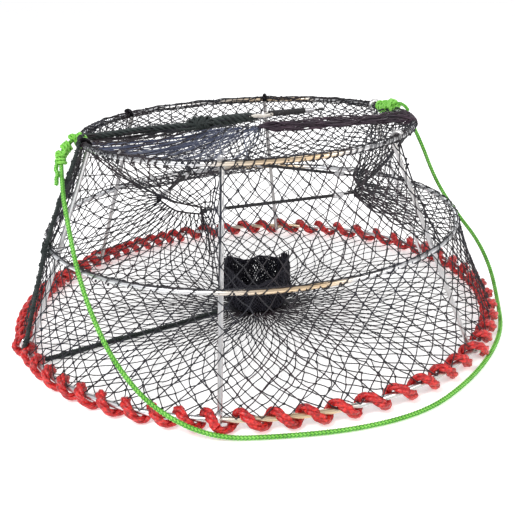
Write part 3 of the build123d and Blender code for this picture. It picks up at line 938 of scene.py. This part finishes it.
def elastics():
    coils = []
    for index in range(3):
        start, end = mouth_anchor(index, 1), mouth_anchor((index + 1) % 3, -1)
        number = index + 1
        coils += elastic(f"tunnel_elastic_braid_{number}", "elastics", start, end, f"tunnel_elastic_{number}")
    top_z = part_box("closure_elastic_coils")[0][2] + COIL_R
    near, far = np.array([0.032, 0.076, top_z]), np.array([0.132, 0.096, top_z])
    along = (far - near) / np.linalg.norm(far - near)
    sleeve = Build()
    cover = resample([near + along * (COIL_FROM - 0.012), far - along * (ELASTIC_FROM + 0.001)], 0.0014)
    braid(sleeve, cover, COIL_R + 0.0011, 6, 0.02)
    sleeve.done("closure_elastic_sleeve", [ELASTIC], "top", "elastic_cord")
    top_coils = elastic("closure_elastic_braid", "top", near, far, "closure_elastic")
    for name, body, lines, node in (("tunnel_elastic_wire", "elastics", coils, "tunnel_elastic_coils"),
                                    ("closure_elastic_wire", "top", top_coils, "closure_elastic_coils")):
        build = Build()
        for line in lines:
            build.long_tube(line, WIRE_R, 6)
        build.done(name, [WIRE], body, "hook_steel", node)


# ---- bait bag
BAG_AT = np.array([0.003, -0.014, 0.0])
CLOTH_TO = 0.42          # the cloth's share of the pouch's height


def bag_surface(u, v, layer=0.0):
    """Limp pouch: u round, v from the floor gather up to the drawn edge, with two peaked corners."""
    a = 2 * pi * u
    open_out = np.interp(v, (0, 0.12, 0.4, 0.8, 1.0), (0.50, 0.90, 1.0, 0.99, 0.92))
    creases = 0.045 * np.sin(7 * a + 3 * v) * v + 0.03 * np.sin(13 * a - 5 * v + layer)
    creased = open_out * (1 + creases + 0.02 * np.sin(29 * a + 9 * v + layer * 2))
    wide = 0.053 * creased - layer * 0.0016
    deep = 0.041 * creased - layer * 0.0016
    peak = np.abs(np.cos(a)) ** 3
    rim_z = 0.066 + 0.010 * np.sin(a) + 0.022 * peak + 0.003 * np.sin(5 * a + 1)
    z = 0.0035 + (rim_z - 0.0035) * v
    lean = np.where(np.cos(a) < 0, -0.001, 0.002) * peak * v
    return np.stack([BAG_AT[0] + wide * np.cos(a) + lean, BAG_AT[1] + deep * np.sin(a), z], -1)


def bait_bag():
    build = Build()
    for layer, columns in enumerate((64, 56, 72)):
        surface = lambda u, v, layer=layer: bag_surface(u, v, layer)
        diamond_net(build, surface, columns, 16, True, 0.0016, 0.2, ends=(False, False), sides=4)
    u = np.linspace(0, 1, 97)[:-1]
    rim = bag_surface(u, np.ones(96))
    for k in range(3):
        a = 2 * pi * u
        wander = np.stack([np.sin(a * (5 + k) + k), np.cos(a * (7 - k)), np.sin(a * 6 + k)], -1)
        build.long_tube(rim + wander * 0.0014, 0.0011, 6, closed=True)
    rows = np.linspace(0, CLOTH_TO, 13)
    uu, vv = np.meshgrid(u, rows)
    shell = bag_surface(uu, vv, 3.4)
    shell = shell + drift(shell * 6) * 0.002
    n = len(u)
    build.add(shell.reshape(-1, 3), skin(len(rows), n), 1)
    lid = bag_surface(u, np.full(n, CLOTH_TO), 3.4)
    rings = []
    for i, k in enumerate((1.0, 0.8, 0.6, 0.4, 0.2, 0.02)):
        ripple = 0.004 * np.sin(u * 2 * pi * (4 + i)) * (i % 3)
        rings.append(BAG_AT + UP * 0.026 + (lid - BAG_AT - UP * 0.031) * k + UP * ripple[:, None])
    build.add(np.concatenate(rings), skin(len(rings), n), 1)
    for x, count, height in ((-0.050, 17, 0.010), (0.050, 20, 0.012)):
        foot = np.array([x + BAG_AT[0], -0.008, 0.020])
        for k in range(count):
            low = foot + np.array([rng.normal() * 0.006, rng.normal() * 0.010, 0])
            high = foot + np.array([rng.normal() * 0.005, rng.normal() * 0.006, 0.066 + height * rng.random()])
            mid = (low + high) / 2 + rng.normal(size=3) * 0.003
            build.long_tube(smooth_path([low, mid, high], 0.004), 0.0010, 5)
        tangle(build, foot + (0, 0.002, 0.067), (0.0055, 0.005, 0.004), 4, 0.0009)
    obj = build.done("bait_pouch_mesh", [BAG_TWINE, BAG_CLOTH], "base", "bait_mesh", "bait_bag")
    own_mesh(obj)


# ---- bridle rope
BRIDLE_R = 0.0035
BRAID_STEP = 0.0014
BRIDLE_FLOOR = BRIDLE_R + 0.0002
BRIDLE_ROUTE = (
    (198.0, 0.288, TOP_Z - 0.012),
    (207.0, 0.3005, TOP_Z - 0.050),
    (217.0, 0.316, TOP_Z - 0.090),
    (226.0, 0.339, BASE_Z + 0.156),
    (234.5, 0.3635, BASE_Z + 0.110),
    (242.5, 0.388, BASE_Z + 0.066),
    (251.0, 0.4045, BASE_Z + 0.022),
    (261.5, 0.405, BRIDLE_FLOOR),
    (274.0, 0.4035, BRIDLE_FLOOR),
    (287.0, 0.4125, BRIDLE_FLOOR),
    (300.0, 0.4195, BRIDLE_FLOOR),
    (313.0, 0.408, BRIDLE_FLOOR),
    (326.0, 0.402, BRIDLE_FLOOR),
    (339.0, 0.4015, BRIDLE_FLOOR),
    (351.0, 0.4005, BRIDLE_FLOOR + 0.003),
    (361.0, 0.404, BASE_Z + 0.024),
    (368.0, 0.3965, BASE_Z + 0.062),
    (373.0, 0.3725, BASE_Z + 0.102),
    (376.0, 0.349, BASE_Z + 0.144),
    (376.5, 0.327, BASE_Z + 0.188),
    (375.0, 0.306, BASE_Z + 0.230),
    (377.0, 0.290, BASE_Z + 0.268),
)


def route_line(route):
    """Even points on the route's smooth spline."""
    curve = bpy.data.curves.new("bridle_route", "CURVE")
    curve.dimensions = "3D"
    curve.resolution_u = 24
    spline = curve.splines.new("NURBS")
    points = [polar(*point) for point in route]
    spline.points.add(len(points) - 1)
    for target, point in zip(spline.points, points):
        target.co = (*point, 1)
    spline.order_u = 3
    spline.use_endpoint_u = True
    holder = bpy.data.objects.new("bridle_route", curve)
    mesh = bpy.data.meshes.new_from_object(holder)
    line = np.array([v.co[:] for v in mesh.vertices])
    bpy.data.objects.remove(holder)
    return line


def bridle():
    line = resample(route_line(BRIDLE_ROUTE), BRAID_STEP)
    build = Build()
    # The second material is painted shade between the strands: the darker green of one way's strands and of the
    # core.
    braid(build, line, BRIDLE_R, 4, 0.019, (0, 1))
    obj = build.done("bridle_braid", [GREEN, GREEN_PAINTED_SHADE], "base", "bridle_green", "bridle_rope")
    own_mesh(obj)
    return line


def bridle_knots(line):
    """At each end the bridle is wound on the top hoop, hitched round itself and left with a short tail."""
    build = Build()
    rope = BRIDLE_R * 0.92
    for end, inner, azimuth, spread in ((line[0], line[10], 195.0, 2.6), (line[-1], line[-11], 22.5, 3.4)):
        along = polar(azimuth + 90, 1.0, 0.0)
        hoop_point = polar(azimuth, TOP_R, TOP_Z)
        wraps(build, hoop_point, along, spread, HOOP_ROD + rope + 0.0006, 0.0085 * spread, rope, wobble=0.12)
        leaving = hoop_point + polar(azimuth, HOOP_ROD + rope, 0.004)
        hitch = leaving * 0.35 + end * 0.65 + UP * 0.002
        between = leaving * 0.6 + hitch * 0.4 + UP * 0.003
        standing = smooth_path([leaving, between, hitch, end, inner], BRAID_STEP)
        braid(build, standing, BRIDLE_R * 0.97, 4, 0.021, (0, 1), 5)
        wraps(build, hitch, end - leaving, 2.6, BRIDLE_R + rope * 0.85, 0.014, rope * 0.85, wobble=0.1)
        on_top = hoop_point + polar(azimuth, 0.006, 0.007)
        tangle(build, on_top, (0.011, 0.009, 0.007), 3.4, rope * 0.8)
    fall = line[16] - line[2]
    wraps(build, line[5], fall, 3.6, BRIDLE_R + rope * 0.8, 0.022, rope * 0.8, wobble=0.14)
    tangle(build, line[3] + (0.002, 0, 0.002), (0.0085, 0.007, 0.009), 3.2, rope * 0.75)
    beside = line[8:42:4] + np.array([-0.0064, -0.0025, 0.0])
    beside[:, 0] += 0.0012 * np.sin(np.arange(len(beside)) * 1.7)
    beside[-1] += (-0.0025, 0, 0)
    braid(build, smooth_path(beside, BRAID_STEP), BRIDLE_R, 4, 0.018, (0, 1), 5)
    second = polar(18.0, TOP_R + 0.003, TOP_Z + 0.004)
    tangle(build, second, (0.011, 0.009, 0.008), 3.2, rope * 0.8)
    wraps(build, second, polar(112.0, 1.0, 0.0), 2.2, HOOP_ROD + rope + 0.002, 0.015, rope * 0.85, wobble=0.14)
    tail = polar_path([(19.0, 0.262, 0.316), (16.0, 0.266, 0.318), (13.0, 0.268, 0.315),
                       (11.0, 0.269, 0.310)], BRAID_STEP)
    braid(build, tail, BRIDLE_R * 0.9, 4, 0.018, (0, 1), 5)
    build.done("bridle_hitches", [GREEN, GREEN_PAINTED_SHADE], "top", "bridle_green", "bridle_knots")


# ---- camera, light and floor
def camera():
    cam = bpy.data.objects.new("camera", bpy.data.cameras.new("camera"))
    bpy.context.scene.collection.objects.link(cam)
    cam.data.sensor_width = 36
    cam.data.lens = 52.33
    cam.data.clip_start = 0.01
    cam.location = (0, -1.1738, 0.5257)
    pitch, yaw, roll = radians(20.557), radians(0.309), radians(2.747)
    ahead = Vector((sin(yaw) * cos(pitch), cos(yaw) * cos(pitch), -sin(pitch)))
    turn = ahead.to_track_quat("-Z", "Y").to_matrix().to_4x4() @ Matrix.Rotation(-roll, 4, "Z")
    cam.matrix_world = Matrix.Translation(cam.location) @ turn
    bpy.context.scene.camera = cam


def area_light(name, place, size, power, colour=(1, 1, 1)):
    data = bpy.data.lights.new(name, "AREA")
    data.shape = "RECTANGLE"
    data.size, data.size_y = size
    data.energy = power
    data.color = colour
    light = bpy.data.objects.new(name, data)
    bpy.context.scene.collection.objects.link(light)
    aim = (-Vector(place)).to_track_quat("-Z", "Y").to_matrix().to_4x4()
    light.matrix_world = Matrix.Translation(place) @ aim


def studio():
    world = bpy.data.worlds.new("studio")
    world.use_nodes = True
    tree = world.node_tree
    plain = tree.nodes["Background"]
    plain.inputs["Color"].default_value = (0.62, 0.62, 0.63, 1)
    backdrop = tree.nodes.new("ShaderNodeBackground")
    backdrop.inputs["Color"].default_value = (1, 1, 1, 1)
    rays = tree.nodes.new("ShaderNodeLightPath")
    pick = tree.nodes.new("ShaderNodeMixShader")
    tree.links.new(rays.outputs["Is Camera Ray"], pick.inputs[0])
    tree.links.new(plain.outputs[0], pick.inputs[1])
    tree.links.new(backdrop.outputs[0], pick.inputs[2])
    tree.links.new(pick.outputs[0], tree.nodes["World Output"].inputs["Surface"])
    bpy.context.scene.world = world
    area_light("key", (-1.4, -1.6, 2.4), (0.9, 0.9), 52)
    area_light("fill", (2.2, -1.4, 1.6), (0.9, 0.9), 24, (1.0, 0.94, 0.86))
    area_light("rim", (0.8, 2.2, 1.6), (1.2, 1.2), 16)
    mat, tree, shader = node_material("stage_pale", (0.93, 0.93, 0.93), 0.9)
    shader.inputs["Emission Color"].default_value = (1, 1, 1, 1)
    shader.inputs["Emission Strength"].default_value = 0.42
    mesh = bpy.data.meshes.new("stage_floor")
    corners = [(x * 60, y * 60, -0.0005) for x, y in ((-1, -1), (1, -1), (1, 1), (-1, 1))]
    mesh.from_pydata(corners, [], [(0, 1, 2, 3)])
    mesh.materials.append(mat)
    floor = bpy.data.objects.new("stage_floor", mesh)
    bpy.context.scene.collection.objects.link(floor)
    bpy.context.scene.view_settings.view_transform = "Standard"


def finish_nodes(nodes, material):
    for node in nodes:
        obj = bpy.data.objects[node]
        for slot in obj.material_slots:
            slot.material = material
        for face in obj.data.polygons:
            face.use_smooth = True


camera()
bridle_knots(bridle())
studio()
finish_nodes(["base_ring", "middle_ring", "top_ring"], STEEL)
finish_nodes(["strut_1", "strut_2", "strut_3"], STRUT_STEEL)
finish_nodes(["strut_6"], LASHED_STEEL)
# strut_4 and strut_5 get the darker copy of the strut colours: painted shade on the far side.
finish_nodes(["strut_4", "strut_5"], FAR_STEEL)
finish_nodes(["tunnel_elastic_hooks", "closure_elastic_hooks"], VINYL)
lower_wall()
upper_wall()
tunnels()
top_cover()
floor_net()
hoop_edges()
wound_rope()
seam_ropes()
closure_cord()
closure_hook()
closure_gather()
elastics()
bait_bag()
